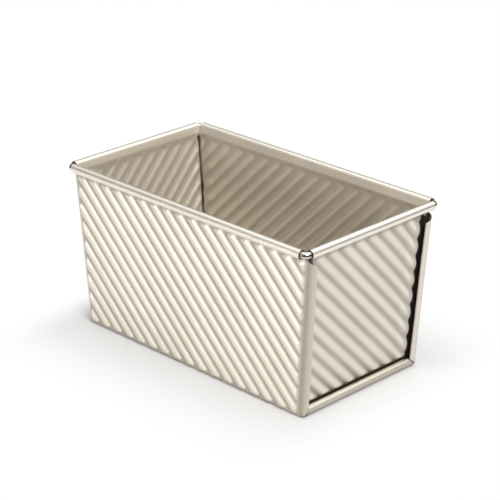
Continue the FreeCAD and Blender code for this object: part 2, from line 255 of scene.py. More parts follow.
# %% Middle line of a bent strip
def bent_line(start, heading, moves):
    """Points along runs (length, 0, steps) and bends (middle radius, turn, steps)."""
    x, y = start
    points = [(x, y)]
    for size, turn, steps in moves:
        for i in range(1, steps + 1):
            share = i / steps
            if turn:
                hand = math.copysign(1.0, turn)
                reached = heading + share * turn
                points.append((
                    x + hand * size * (math.sin(reached) - math.sin(heading)),
                    y - hand * size * (math.cos(reached) - math.cos(heading)),
                ))
            else:
                points.append((x + share * size * math.cos(heading), y + share * size * math.sin(heading)))
        x, y = points[-1]
        heading += turn
    return points


print("a quarter bend in 4 steps:", len(bent_line((0.0, 0.0), 0.0, [(MM, math.pi / 2, 4)])), "points")

# %% Top edges of the walls
FLARE_MIDDLE = FLARE_BEND + SHEET / 2
FLARE_LEG = FLARE_MIDDLE * math.tan(FLARE_ANGLE / 2)
FLARE_BEND_STEPS = 3
FLARE_STEPS = 2
RIM_STEPS = 22
FLARE_POINTS = 2 + FLARE_BEND_STEPS + FLARE_STEPS


def flare_corner(slope):
    """Height at which a wall of that slope turns into its flare."""
    lean = slope + FLARE_ANGLE
    return RIM_Z + RIM_MIDDLE * math.sin(lean) - (FLARE_LENGTH + FLARE_LEG) * math.cos(lean)


def rim_line(slope, middle, first_z):
    """Middle line of a wall's top edge: up from first_z, out along the flare and round the wire."""
    lead = (flare_corner(slope) - first_z) / math.cos(slope) - FLARE_LEG
    moves = [
        (lead, 0, 1),
        (FLARE_MIDDLE, -FLARE_ANGLE, FLARE_BEND_STEPS),
        (FLARE_LENGTH, 0, FLARE_STEPS),
        (RIM_MIDDLE, -RIM_TURN, RIM_STEPS),
    ]
    return bent_line((middle(first_z), first_z), math.pi / 2 - slope, moves)


side_rim = rim_line(SIDE_SLOPE, wall_middle, SHOULDER)
end_rim = rim_line(END_SLOPE, panel_middle, SHOULDER)
print("points in a rim section:", len(side_rim), len(end_rim))

# %% [markdown]
# ## Pressed ribs
# Diagonal ribs stiffen the thin sheet and let hot air move along it. They follow one rule: a rounded wave
# square to the slant, held back near the edges of its field. Modelled one by one they would be slow to
# change, and a bump map wouldn't show on the outline, so this is a job for Geometry Nodes. Each sheet
# mesh carries where a point lies on its wall, what share of their height the ribs have there and which
# way is out, and the tree does the rest. It also paints a highlight on the backs of the ribs, which the
# coating reads later as painted light. The mesh step is a whole share of the rib spacing along the slant,
# so every rib is sampled alike.

# %% Rib sizes
RIB_PITCH = 7.95 * MM
RIB_HEIGHT = 1.5 * MM
RIB_FULLNESS = 1.7
WALL_RIB_SHIFT = 3.0 * MM
PANEL_RIB_SHIFT = 2.4 * MM
RIB_SLANT = math.radians(45.0)
RIB_END = 1.3 * MM
RIB_FADE = 3.4 * MM
RIB_FOOT = 1.5 * MM
WALL_MARGIN_LEFT = 0.6 * MM
WALL_MARGIN_RIGHT = 1.8 * MM
PANEL_FOOT_MARGIN = 3.4 * MM
RIB_MARGIN_TOP = 0.6 * MM
RIB_MARGIN_FLOOR = 0.2 * MM
# Painted highlight on the backs of the ribs: its strength, and where it starts and is full.
RIB_PAINTED_HIGHLIGHT = 0.62
RIB_HIGHLIGHT_START = 0.45
RIB_HIGHLIGHT_FULL = 0.85
STEPS_PER_RIB = 9
STEP = RIB_PITCH / math.sin(RIB_SLANT) / STEPS_PER_RIB
print("mesh step", round(STEP / MM, 3), "mm")


# %% Tree that presses the ribs
def rib_tree():
    """Tree that pushes the points of a sheet out along the ribs and paints a highlight on the ribs' backs.
    """
    tree = bpy.data.node_groups.new("press_ribs", "GeometryNodeTree")
    face = tree.interface
    face.new_socket("Geometry", in_out="INPUT", socket_type="NodeSocketGeometry")
    for name in ("Pitch", "Height", "Fullness", "Slant", "Shift"):
        face.new_socket(name, in_out="INPUT", socket_type="NodeSocketFloat")
    face.new_socket("Finish", in_out="INPUT", socket_type="NodeSocketMaterial")
    face.new_socket("Geometry", in_out="OUTPUT", socket_type="NodeSocketGeometry")
    group = tree.nodes.new("NodeGroupInput")
    sheet, pitch, height, fullness, slant, shift, finish = [Socket(tree, s) for s in group.outputs[:7]]
    vector = {"data_type": "FLOAT_VECTOR"}
    place = node(tree, "GeometryNodeInputNamedAttribute", vector, {"Name": "rib_place"})
    across = node(tree, "ShaderNodeSeparateXYZ", None, [place], 0)
    upward = node(tree, "ShaderNodeSeparateXYZ", None, [place], 1)
    share = node(tree, "ShaderNodeSeparateXYZ", None, [place], 2)
    square = across * slant.math("SINE") + upward * slant.math("COSINE")
    from_crest = 2.0 * ((square - shift) / pitch).math("PINGPONG", 0.5)
    crest = share * (1.0 - from_crest ** fullness)
    outward = node(tree, "GeometryNodeInputNamedAttribute", vector, {"Name": "outward"})
    push = node(tree, "ShaderNodeVectorMath", {"operation": "SCALE"}, {0: outward, "Scale": height * crest})
    pressed = node(tree, "GeometryNodeSetPosition", None, {"Geometry": sheet, "Offset": push})
    # Painted highlight on the backs of the ribs, kept where the sheet already carries more painted light.
    back = node(tree, "ShaderNodeMapRange", {"interpolation_type": "SMOOTHSTEP"}, {
        "Value": crest, "From Min": RIB_HIGHLIGHT_START, "From Max": RIB_HIGHLIGHT_FULL,
        "To Min": 0.0, "To Max": RIB_PAINTED_HIGHLIGHT,
    })
    painted_so_far = node(tree, "GeometryNodeInputNamedAttribute", {"data_type": "FLOAT"}, {"Name": "painted_light"})
    marked = node(tree, "GeometryNodeStoreNamedAttribute", {"data_type": "FLOAT", "domain": "POINT"}, {
        "Geometry": pressed, "Name": "painted_light", "Value": painted_so_far.math("MAXIMUM", back),
    })
    single = node(tree, "GeometryNodeRealizeInstances", None, {"Geometry": marked})
    dressed = node(tree, "GeometryNodeSetMaterial", None, {"Geometry": single, "Material": finish})
    out = tree.nodes.new("NodeGroupOutput")
    tree.links.new(dressed.socket, out.inputs[0])
    return tree


def set_inputs(modifier, values):
    """Set a Geometry Nodes modifier's inputs by the names of their sockets."""
    for item in modifier.node_group.interface.items_tree:
        if item.in_out == "INPUT" and item.name in values:
            modifier[item.identifier] = values[item.name]


press_ribs = rib_tree()
print("rib tree has", len(press_ribs.nodes), "nodes")

# %% [markdown]
# ## From grid to sheet
# A bent sheet is a grid of points: rows along its section, columns along its length. One function turns
# the grid into a mesh, presses the ribs, and gives the sheet its thickness with Solidify. Solidify also
# hands out finishes: the outer side, the inner side and the cut edge each take their own.

# %% Grid to mesh
def grid_points(place, rows, columns):
    """Points of a grid, from a function that places one row at one column."""
    return np.array([[place(row, column) for column in columns] for row in rows])


def grid_keep(keeps, rows, columns):
    """Which quads of a grid are sheet, from a function of two rows and two columns."""
    return np.array([
        [keeps(a, b, c, d) for c, d in zip(columns, columns[1:])]
        for a, b in zip(rows, rows[1:])
    ])


def grid_layers(fields, rows, columns, points):
    """One array for each value that a function of row, column and point returns."""
    cells = [
        [fields(row, column, points[i, j]) for j, column in enumerate(columns)]
        for i, row in enumerate(rows)
    ]
    return [np.array([[cell[k] for cell in line] for line in cells]) for k in range(len(cells[0][0]))]


def grid_mesh(name, points, keep, rib_place, outward, slot_shade, painted_light, fold, painted_shade):
    """Mesh of the kept quads of a grid, with what the rib tree and the finishes read."""
    rows, columns = points.shape[:2]
    corner = np.arange(rows * columns).reshape(rows, columns)
    quads = np.stack([corner[:-1, :-1], corner[:-1, 1:], corner[1:, 1:], corner[1:, :-1]], axis=-1)[keep]
    used, faces = np.unique(quads, return_inverse=True)
    mesh = bpy.data.meshes.new(name)
    mesh.from_pydata(points.reshape(-1, 3)[used].tolist(), [], faces.reshape(-1, 4).tolist())
    for label, kind, field, values in (
        ("rib_place", "FLOAT_VECTOR", "vector", rib_place.reshape(-1, 3)),
        ("outward", "FLOAT_VECTOR", "vector", outward.reshape(-1, 3)),
        ("slot_shade", "FLOAT", "value", slot_shade.reshape(-1)),
        ("painted_light", "FLOAT", "value", painted_light.reshape(-1)),
        ("fold", "FLOAT", "value", fold.reshape(-1)),
        ("painted_shade", "FLOAT", "value", painted_shade.reshape(-1)),
    ):
        data = mesh.attributes.new(label, kind, "POINT").data
        data.foreach_set(field, values[used].astype(np.float32).ravel())
    return mesh


print("grid helpers ready")


# %% Ribs, thickness and finishes of a sheet
def evaluated_copy(piece):
    """Plain mesh of an object with its modifiers applied."""
    bpy.context.view_layer.update()
    return bpy.data.meshes.new_from_object(piece.evaluated_get(bpy.context.evaluated_depsgraph_get()))


SHARP_ANGLE = math.radians(50.0)


def finish_sheet(name, mesh, finishes, shift):
    """Press the ribs, thicken the sheet and return it as a plain mesh object."""
    piece = bpy.data.objects.new(name, mesh)
    bpy.context.scene.collection.objects.link(piece)
    ribs = piece.modifiers.new("ribs", "NODES")
    ribs.node_group = press_ribs
    set_inputs(ribs, {
        "Pitch": RIB_PITCH, "Height": RIB_HEIGHT, "Fullness": RIB_FULLNESS, "Slant": RIB_SLANT,
        "Shift": shift, "Finish": finishes[0],
    })
    pressed = evaluated_copy(piece)
    piece.modifiers.clear()
    piece.data = pressed
    pressed.materials.clear()
    for finish in finishes:
        pressed.materials.append(finish)
    wall = piece.modifiers.new("thickness", "SOLIDIFY")
    wall.thickness = SHEET
    wall.offset = 0.0
    wall.use_even_offset = True
    wall.material_offset = 1
    wall.material_offset_rim = 2
    piece.data = evaluated_copy(piece)
    piece.modifiers.clear()
    piece.data.shade_smooth()
    piece.data.set_sharp_from_angle(angle=SHARP_ANGLE)
    print(name, "has", len(piece.data.polygons), "faces")
    return piece


print("edges turn sharp at", round(math.degrees(SHARP_ANGLE)), "degrees")

# %% [markdown]
# ## Finishes
# Colours, painted light and painted shade could be painted as pictures. Here every pattern is procedural,
# and the sheets carry their painted light and shade as attributes of their points, so that it follows
# every rib and bead by itself. A few helpers make the nodes that the finishes share. All colours are
# linear.

# %% Helpers for finishes
def new_finish(name):
    """A new material with its node tree and its shader."""
    material = bpy.data.materials.new(name)
    material.use_nodes = True
    tree = material.node_tree
    shader = tree.nodes["Principled BSDF"]
    return material, tree, shader


def object_place(tree):
    """Object coordinates."""
    return node(tree, "ShaderNodeTexCoord", None, None, "Object")


def object_noise(tree, scale, detail):
    """Noise that sticks to the object, from 0 to 1 and mostly near a half."""
    return node(tree, "ShaderNodeTexNoise", None, {
        "Vector": object_place(tree), "Scale": scale, "Detail": detail,
    })


def point_value(tree, name):
    """Value of a sheet's attribute."""
    return node(tree, "ShaderNodeAttribute", {"attribute_name": name}, None, "Fac")


def mix_colour(tree, factor, first, second):
    """Colour between two others, by the factor."""
    return node(tree, "ShaderNodeMix", {"data_type": "RGBA"}, {0: factor, 6: first, 7: second}, 2)


print("finish helpers ready")

# %% [markdown]
# ## Coating
# The sheet is steel with a pale champagne-coloured, satin non-stick coating: warm, slightly metallic,
# with a fine sparkle under a thin clear layer. Painted highlights lighten the backs of ribs, beads and
# rolls, where the coating is also shinier. Painted shade darkens the creases and the valleys at the foot
# of the end panels. Beside the right-hand fold of an end panel the coating is matt and gets a painted
# highlight. Inside the curled seams and in the slots beside and under the panels the colour is near
# black: painted shade. Several shaders could be mixed for plain, lit and shaded places. One shader, whose
# colour, roughness and metal are weighted sums, is easier to tune.

# %% Colours and weights of the coating
# Painted light moves the coating from its plain deep colour towards the bright one.
COAT_PAINTED_HIGHLIGHT = (0.92, 0.862, 0.76, 1.0)
COAT_DEEP = (0.45, 0.387, 0.303, 1.0)
# Near-black painted shade inside the seams and in the slots beside and under the panels.
SLOT_SHADE_COLOUR = (0.020, 0.011, 0.005, 1.0)
PATCH_SCALE = 28.0
PATCH_DETAIL = 3.0
GRAIN_SCALE = 2600.0
GRAIN_DETAIL = 1.0
GRAIN_STRENGTH = 0.04
GRAIN_DEPTH = 0.2 * MM
FLECK = 0.20
CLEAR_WEIGHT = 0.5
CLEAR_ROUGHNESS = 0.22

# Plain value of the tone, the roughness and the metal, then what painted light, the fold, patches and
# flecks add.
TONE = 0.08
TONE_PAINTED_LIGHT = 1.05
TONE_FOLD_HIGHLIGHT = 0.5
TONE_PATCH = 0.3
ROUGH = 0.38
ROUGH_PAINTED_LIGHT = -0.13
ROUGH_PATCH = 0.10
ROUGH_FLECK = 0.2
ROUGH_SHADE = 0.25
METAL = 0.30
METAL_PAINTED_LIGHT = 0.60
METAL_FLECK = 0.4
METAL_FOLD = -0.7
print("patches and grain:", round(1 / PATCH_SCALE / MM, 1), "mm and", round(1 / GRAIN_SCALE / MM, 2), "mm")


# %% Coating
def coating(name, shade_where):
    """Champagne coating with painted light from the sheet's attributes, turning into near-black painted
    shade where the named attribute of the sheet is 1.
    """
    material, tree, shader = new_finish(name)
    patch = object_noise(tree, PATCH_SCALE, PATCH_DETAIL) - 0.5
    grain = object_noise(tree, GRAIN_SCALE, GRAIN_DETAIL)
    fleck = (grain - 0.5) * FLECK
    # Painted light and painted shade, read from the sheet's attributes.
    painted_light = point_value(tree, "painted_light")
    fold = point_value(tree, "fold")
    shade_share = point_value(tree, shade_where)
    tone = TONE + painted_light * TONE_PAINTED_LIGHT + fold * TONE_FOLD_HIGHLIGHT + patch * TONE_PATCH + fleck
    tone.socket.node.use_clamp = True
    colour = mix_colour(tree, tone, COAT_DEEP, COAT_PAINTED_HIGHLIGHT)
    roughness = ROUGH + painted_light * ROUGH_PAINTED_LIGHT + patch * ROUGH_PATCH + fleck * ROUGH_FLECK
    metal = (METAL + painted_light * METAL_PAINTED_LIGHT + fleck * METAL_FLECK) * (1.0 + fold * METAL_FOLD)
    looks = {
        "Base Color": mix_colour(tree, shade_share, colour, SLOT_SHADE_COLOUR),
        "Roughness": roughness + shade_share * ROUGH_SHADE,
        "Metallic": metal * (1.0 - shade_share),
        "Normal": node(tree, "ShaderNodeBump", None, {
            "Height": grain, "Strength": GRAIN_STRENGTH, "Distance": GRAIN_DEPTH,
        }),
    }
    for key, value in looks.items():
        tree.links.new(value.socket, shader.inputs[key])
    shader.inputs["Coat Weight"].default_value = CLEAR_WEIGHT
    shader.inputs["Coat Roughness"].default_value = CLEAR_ROUGHNESS
    return material


coat_outside = coating("champagne_coating", "painted_shade")
coat_inside = coating("champagne_coating_inner", "slot_shade")
print("coatings:", coat_outside.name, coat_inside.name)

# %% [markdown]
# ## Bare metal
# Where the sheet was cut, its edge shows bare steel, dark and dull. The wire is bright drawn steel, with
# a painted reflection round it: a darker band at one level. Both have fine marks from being cut or drawn.
# Anisotropic shading could suggest them. Stretched noise in the colour and the roughness shows them from
# close by too.

# %% Bare metal
# Painted reflection: the colour of a dark band round the wire, and its level and width.
WIRE_DARK_REFLECTION = (0.13, 0.10, 0.075, 1.0)
DARK_BAND_LEVEL = RIM_Z + 0.19 * WIRE_RADIUS
DARK_BAND_HALF = 0.36 * WIRE_RADIUS
DARK_BAND_CORE = 0.5
DRAWING_SCALE = 900.0
DRAWING_DETAIL = 3.0


def painted_dark_band(tree, colour):
    """Painted reflection: a darker band at one level round the wire."""
    level = node(tree, "ShaderNodeSeparateXYZ", None, [object_place(tree)], 2)
    away = ((level - DARK_BAND_LEVEL) / DARK_BAND_HALF).math("ABSOLUTE")
    dark = node(tree, "ShaderNodeMapRange", {"interpolation_type": "SMOOTHSTEP"}, {
        "Value": away, "From Min": DARK_BAND_CORE, "From Max": 1.0, "To Min": 1.0, "To Max": 0.0,
    })
    return mix_colour(tree, dark, colour, WIRE_DARK_REFLECTION)


def bare_metal(name, colours, rough, stretch, dark_band=False):
    """Uncoated steel with fine drawing marks between two colours and two degrees of roughness."""
    material, tree, shader = new_finish(name)
    drawn = node(tree, "ShaderNodeMapping", None, {"Vector": object_place(tree), "Scale": stretch})
    marks = node(tree, "ShaderNodeTexNoise", None, {
        "Vector": drawn, "Scale": DRAWING_SCALE, "Detail": DRAWING_DETAIL,
    })
    colour = mix_colour(tree, marks, *colours)
    if dark_band:
        colour = painted_dark_band(tree, colour)
    roughness = rough[0] + marks * (rough[1] - rough[0])
    tree.links.new(colour.socket, shader.inputs["Base Color"])
    tree.links.new(roughness.socket, shader.inputs["Roughness"])
    shader.inputs["Metallic"].default_value = 1.0
    return material


EDGE_COLOURS = ((0.05, 0.04, 0.03, 1.0), (0.14, 0.115, 0.09, 1.0))
EDGE_ROUGHNESS = (0.35, 0.55)
EDGE_STRETCH = (1.0, 1.0, 1.0)
WIRE_COLOURS = ((0.54, 0.53, 0.51, 1.0), (0.62, 0.61, 0.59, 1.0))
WIRE_ROUGHNESS = (0.07, 0.10)
WIRE_STRETCH = (0.3, 0.3, 2.0)
cut_edge = bare_metal("cut_steel_edge", EDGE_COLOURS, EDGE_ROUGHNESS, EDGE_STRETCH)
wire_metal = bare_metal("bright_wire", WIRE_COLOURS, WIRE_ROUGHNESS, WIRE_STRETCH, dark_band=True)
print("bare metal:", cut_edge.name, wire_metal.name)

# %% [markdown]
# ## The trough
# One sheet makes the floor and both long walls. Extruding its section would be quicker, but the ends
# slope and curl, so the sheet is laid out as rows and columns. The section is drawn once, from the middle
# of the floor up to the rolled lip, and mirrored. Columns run along the pan on the rib step, then fan out
# to the sloping ends, and the last columns curl inward as the bead that holds the end panel. The first
# part of the curl runs round the bottom corners too, and rounds them. The rest is mitred where two beads
# meet.

# %% Half a trough section
FLOOR, BEND, WALL, FLARE, ROLL = range(5)
FLOOR_SHARES = (0.0, 0.2, 0.4, 0.55, 0.7, 0.8, 0.88, 0.94, 0.98, 1.0)
BEND_STEPS = 6
FIRST_ROW_GAP = 0.3
BEND_MIDDLE = FLOOR_BEND + SHEET / 2
BEND_TURN = math.pi / 2 - SIDE_SLOPE
FLAT_Y = wall_middle(SHEET / 2) - BEND_MIDDLE * math.tan(BEND_TURN / 2)
BEND_Z = SHEET / 2 + BEND_MIDDLE


def half_section():
    """Rows (y, z, zone) from the middle of the floor to the rolled lip on the +Y side."""
    rows = [(FLAT_Y * share, SHEET / 2, FLOOR) for share in FLOOR_SHARES]
    bend = bent_line((FLAT_Y, SHEET / 2), 0.0, [(BEND_MIDDLE, BEND_TURN, BEND_STEPS)])
    rows += [(y, z, BEND) for y, z in bend[1:]]
    first = math.ceil(rows[-1][1] / STEP + FIRST_ROW_GAP)
    levels = [k * STEP for k in range(first, int(SHOULDER / STEP))] + [SHOULDER]
    rows += [(wall_middle(z), z, WALL) for z in levels]
    rows += [(y, z, FLARE) for y, z in side_rim[1:FLARE_POINTS]]
    rows += [(y, z, ROLL) for y, z in side_rim[FLARE_POINTS:]]
    return rows


half_rows = half_section()
near_rows = [(-y, z, zone, -1) for y, z, zone in half_rows[1:]]
far_rows = [(y, z, zone, 1) for y, z, zone in reversed(half_rows)]
trough_rows = far_rows + near_rows
print("trough section:", len(trough_rows), "rows")


# %% Columns of the trough
CURL_STEPS = 15
ROLL_FAN_STEPS = 5
SEAM_FAN_STEPS = 3
FAN_ROOM = 1.5 * MM
INNER_X = math.floor((BEAD_X - FAN_ROOM) / STEP) * STEP
TOP_SPAN = bead_line(SHOULDER) - INNER_X
ROLL_SHARE = (ROLL_END_X - INNER_X) / TOP_SPAN


def end_columns():
    """Shares of the fan between the last even column and the bead, then shares of the bead's turn."""
    fan = [ROLL_SHARE * i / ROLL_FAN_STEPS for i in range(1, ROLL_FAN_STEPS + 1)]
    fan += [ROLL_SHARE + (1 - ROLL_SHARE) * i / SEAM_FAN_STEPS for i in range(1, SEAM_FAN_STEPS + 1)]
    curl = [i / CURL_STEPS for i in range(1, CURL_STEPS + 1)]
    return [(share, 0.0) for share in fan] + [(1.0, curled) for curled in curl]


even = round(INNER_X / STEP)
right_end = [(share, curled, 1) for share, curled in end_columns()]
left_end = [(share, curled, -1) for share, curled in reversed(end_columns())]
trough_columns = left_end + [(k * STEP, 0.0, 0) for k in range(-even, even + 1)] + right_end
print("trough length:", len(trough_columns), "columns")


# %% Trough points
BEAD_MIDDLE = BEAD_RADIUS - SHEET / 2
CORNER_STEPS = 2
CORNER_SHARE = CORNER_STEPS / CURL_STEPS
MITRE_FADE = 30.0 * MM
TOP_STEP = 0.8 * MM
TOP_SLANT = 0.75
TOP_STEEPNESS = 8
WALL_FOOT = next(z for y, z, zone in half_rows if zone == WALL)


def slid(value, first, target):
    """Move the end of a bead's run from first to target, fading out along the bead."""
    return value + (target - first) * max(0.0, 1.0 - abs(value - first) / MITRE_FADE)


def trough_point(row, column):
    """Middle of the sheet at a row and a column. The columns of a bead turn inward from the wall's end."""
    y, z, zone, side = row
    place, curled, end = column
    if not end:
        return place, y, z
    x = INNER_X + place * (bead_line(min(z, SHOULDER)) - INNER_X)
    if not curled:
        return end * x, y, z
    rise = min(1.0, max(0.0, (z - SHEET / 2) / BEND_MIDDLE))
    turn = curled * (FOOT_BEAD_TURN + rise * (BEAD_TURN - FOOT_BEAD_TURN))
    depth = BEAD_MIDDLE * (1 - math.cos(turn))
    x += BEAD_MIDDLE * math.sin(turn)
    mitre = SHEET / 2 + depth + MITRE_GAP / 2
    inner = curled > CORNER_SHARE
    if zone == FLOOR:
        width = slid(abs(y), FLAT_Y, HALF_WIDTH - mitre) if inner else abs(y)
        return end * x, side * width, z + depth
    if zone == BEND:
        pull = min(1.0, depth / BEND_MIDDLE)
        return end * x, y + pull * (side * FLAT_Y - y), z + pull * (BEND_Z - z)
    height = slid(z, WALL_FOOT, mitre) if inner else z
    cut = min(TOP_STEEPNESS * depth, TOP_STEP + TOP_SLANT * depth)
    return end * x, y - side * depth, slid(height, SHOULDER, SHOULDER - cut)


trough_points = grid_points(trough_point, trough_rows, trough_columns)
print("trough points", trough_points.shape)

# %% [markdown]
# ## Painted light and shade on the trough
# The rolls and the outer turn of the beads get a painted highlight. Painted shade lies where the sheet
# folds, over the lips of the beads and under the beads along the floor. Weights could be painted on by
# hand. Short functions of how far a bead is curled keep the painted light even along the whole bead.

# %% Painted light and shade of the trough
# Painted highlights on rolls and beads, and painted shade in creases, over lips and under beads.
RIM_PAINTED_HIGHLIGHT = 0.80
BEAD_PAINTED_LIGHT = 0.7
CREASE_PAINTED_SHADE = 0.35
CREASE_START = 0.1
CREASE_FADE = 0.25
BEAD_PAINTED_SHADE = 0.28
BEAD_SHADE_REACH = 2.8 * MM
FOOT_BEAD_HIGHLIGHT = 1.25
FOOT_BEAD_PAINTED_SHADE = 0.38
FOOT_BEAD_START = 0.2
FOOT_BEAD_FADE = 0.5
LIP_PAINTED_SHADE = 0.9
LIP_START = 0.79


def smooth(value):
    """Soft step: 0 up to 0, 1 from 1 on."""
    held = min(1.0, max(0.0, value))
    return held * held * (3 - 2 * held)


def bead_painted_light(curled, right):
    """Painted light across an upright bead. It grows along the curl, at the right-hand end from painted
    shade in the fold.
    """
    if right < 0:
        return BEAD_PAINTED_LIGHT * (1.0 + curled ** 2) / 2
    return BEAD_PAINTED_LIGHT * curled ** 2 - CREASE_PAINTED_SHADE * (1.0 - smooth((curled - CREASE_START) / CREASE_FADE))


def bead_painted_shade(from_fold):
    """Painted shade: a dark line where a right-hand bead begins to curl, by the distance from there along
    the sheet.
    """
    return BEAD_PAINTED_SHADE * (1.0 - smooth(from_fold / BEAD_SHADE_REACH))


def foot_bead_painted_shade(curled):
    """Painted shade on the underside of a bead along the floor."""
    return FOOT_BEAD_PAINTED_SHADE * (1.0 - smooth((curled - FOOT_BEAD_START) / FOOT_BEAD_FADE))


def lip_painted_shade(curled):
    """Painted shade that creeps out of the slot over the lip of an upright bead."""
    return LIP_PAINTED_SHADE * (max(0.0, curled - LIP_START) / (1.0 - LIP_START)) ** 2


# Printed: the painted light across a right-hand bead.
print("wear across a right-hand bead:", [round(bead_painted_light(i / 4, 1), 2) for i in range(5)])

# %% Trough faces and fields
FIELD_LOW = FLOOR_BEND + SHEET + RIB_MARGIN_FLOOR
FIELD_HIGH = side_rim[1][1] - RIB_MARGIN_TOP
# Painted highlight on the rolls and painted shade in the crease of the flare.
RIM_PAINTED_LIGHT = {FLARE: -CREASE_PAINTED_SHADE, ROLL: RIM_PAINTED_HIGHLIGHT}
SEAM_FADE = 0.6 * MM
ROUNDING = 1e-6


def trough_keeps(row, after, column, beyond):
    """Whether the sheet is there between two rows and two columns."""
    zones = (row[2], after[2])
    shares = [c[0] for c in (column, beyond) if c[2]]
    curled = max(column[1], beyond[1])
    if max(zones) >= FLARE:
        return not curled and max(shares, default=0.0) <= ROLL_SHARE + ROUNDING
    return not (BEND in zones and curled > CORNER_SHARE)


def trough_fields(row, column, point):
    """What the rib tree and the finishes read at a point of the trough, in the order of grid_mesh."""
    y, z, zone, side = row
    place, curled, end = column
    x = point[0]
    edge = bead_line(z)
    right = -side * x
    share, slot_shade, painted_shade = 0.0, 0.0, 0.0
    if zone == WALL and not curled:
        share = smooth((edge + right - WALL_MARGIN_LEFT) / RIB_END)
        share *= smooth((edge - right - WALL_MARGIN_RIGHT) / RIB_END)
        share *= smooth((z - FIELD_LOW) / RIB_END) * smooth((FIELD_HIGH - z) / RIB_FADE)
    # Painted shade: near black where the trough runs on beyond the panel, inside its beads.
    if zone < FLARE:
        slot_shade = min(1.0, max(0.0, (abs(x) - panel_middle(z)) / SEAM_FADE))
    # Painted highlights on the beads. Painted shade over their lips, under the floor's beads and at the
    # right-hand fold.
    painted_light = RIM_PAINTED_LIGHT.get(zone, 0.0)
    if zone < FLARE and end and place == 1.0:
        painted_light = FOOT_BEAD_HIGHLIGHT * curled ** 3 if zone == FLOOR else bead_painted_light(curled, right)
    if zone == WALL:
        painted_shade = lip_painted_shade(curled)
    elif zone == FLOOR and curled:
        painted_shade = foot_bead_painted_shade(curled)
    if zone in (BEND, WALL) and right > 0:
        painted_shade += bead_painted_shade(curled * BEAD_TURN * BEAD_MIDDLE if curled else edge - abs(x))
    out = (0.0, side * math.cos(SIDE_SLOPE), -math.sin(SIDE_SLOPE))
    return (right, z / math.cos(SIDE_SLOPE), share), out, slot_shade, painted_light, 0.0, painted_shade


trough_keep = grid_keep(trough_keeps, trough_rows, trough_columns)
trough_layers = grid_layers(trough_fields, trough_rows, trough_columns, trough_points)
print("the trough keeps", int(trough_keep.sum()), "of", trough_keep.size, "quads")

# %% The trough as a sheet
trough_mesh = grid_mesh("ribbed_trough", trough_points, trough_keep, *trough_layers)
trough_finishes = (coat_outside, coat_inside, cut_edge)
trough = finish_sheet("ribbed_trough", trough_mesh, trough_finishes, WALL_RIB_SHIFT)
print("trough is", round(trough.dimensions.x / MM, 1), "mm long")

# %% [markdown]
# ## The end panels
# An end panel is a recessed, ribbed sheet. Its sides and foot turn outward, run along the inside of the
# trough and curl inside the trough's beads. Its top flares and rolls round the wire like the long walls.
# A flat plate with a bevelled edge could stand in for it, but the open seams would then show that the
# flanges are missing. So it is laid out as rows and columns again. The panel is drawn at the +X end, and
# the other one is the same panel turned half round.

# %% Sections of an end panel
FOOT, PANEL, TOP, TOP_ROLL = range(4)
FLANGE_MIDDLE = FLANGE_BEND + SHEET / 2
FOOT_TURN = math.pi / 2 + END_SLOPE
FOOT_LEG = FLANGE_MIDDLE * math.tan(FOOT_TURN / 2)
FOOT_Z = SHEET + SEAM_CLEARANCE + SHEET / 2
PANEL_LOW = FOOT_Z + FOOT_LEG * math.cos(END_SLOPE)
NEST_MIDDLE = BEAD_RADIUS - FOOT_Z
FLANGE_STEPS = 6
NEST_STEPS = 10


def panel_side(z):
    """Half width of the flat of an end panel at height z."""
    return HALF_WIDTH + z * math.tan(SIDE_SLOPE) - FLANGE_REACH


foot_run = BEAD_X - panel_middle(FOOT_Z) - FOOT_LEG
foot_line = bent_line((panel_middle(PANEL_LOW), PANEL_LOW), -FOOT_TURN, [
    (FLANGE_MIDDLE, FOOT_TURN, FLANGE_STEPS),
    (foot_run, 0, 1),
    (NEST_MIDDLE, FOOT_FLANGE_TURN, NEST_STEPS),
])
side_run = BEAD_X - panel_middle(0.0) - FLANGE_MIDDLE
side_line = bent_line((0.0, 0.0), math.pi / 2, [
    (FLANGE_MIDDLE, -math.pi / 2, FLANGE_STEPS),
    (side_run, 0, 1),
    (NEST_MIDDLE, -FLANGE_TURN, NEST_STEPS),
])
print("points in a flange section:", len(foot_line), len(side_line))

# %% Rows of an end panel
FOOT_SLOT_DROP = 0.8 * MM
FOOT_STEPS = 4
FIRST_PANEL_GAP = 0.2
PANEL_FIELD_LOW = FOOT_Z + SHEET / 2 + FLANGE_BEND + PANEL_FOOT_MARGIN
PANEL_FIELD_HIGH = end_rim[1][1] - RIB_MARGIN_TOP
FOOT_SLOT_HIGH = PANEL_FIELD_LOW - FOOT_SLOT_DROP
panel_first = math.ceil((PANEL_FIELD_LOW + RIB_FOOT) / STEP + FIRST_PANEL_GAP)
panel_levels = [PANEL_LOW, (PANEL_LOW + FOOT_SLOT_HIGH) / 2, FOOT_SLOT_HIGH]
panel_levels += [PANEL_FIELD_LOW + RIB_FOOT * i / FOOT_STEPS for i in range(FOOT_STEPS + 1)]
panel_levels += [k * STEP for k in range(panel_first, int(SHOULDER / STEP))] + [SHOULDER]
panel_rows = [(x, z, FOOT) for x, z in reversed(foot_line[1:])]
panel_rows += [(panel_middle(z), z, PANEL) for z in panel_levels]
panel_rows += [(x, z, TOP) for x, z in end_rim[1:FLARE_POINTS]]
panel_rows += [(x, z, TOP_ROLL) for x, z in end_rim[FLARE_POINTS:]]
print("panel section:", len(panel_rows), "rows")

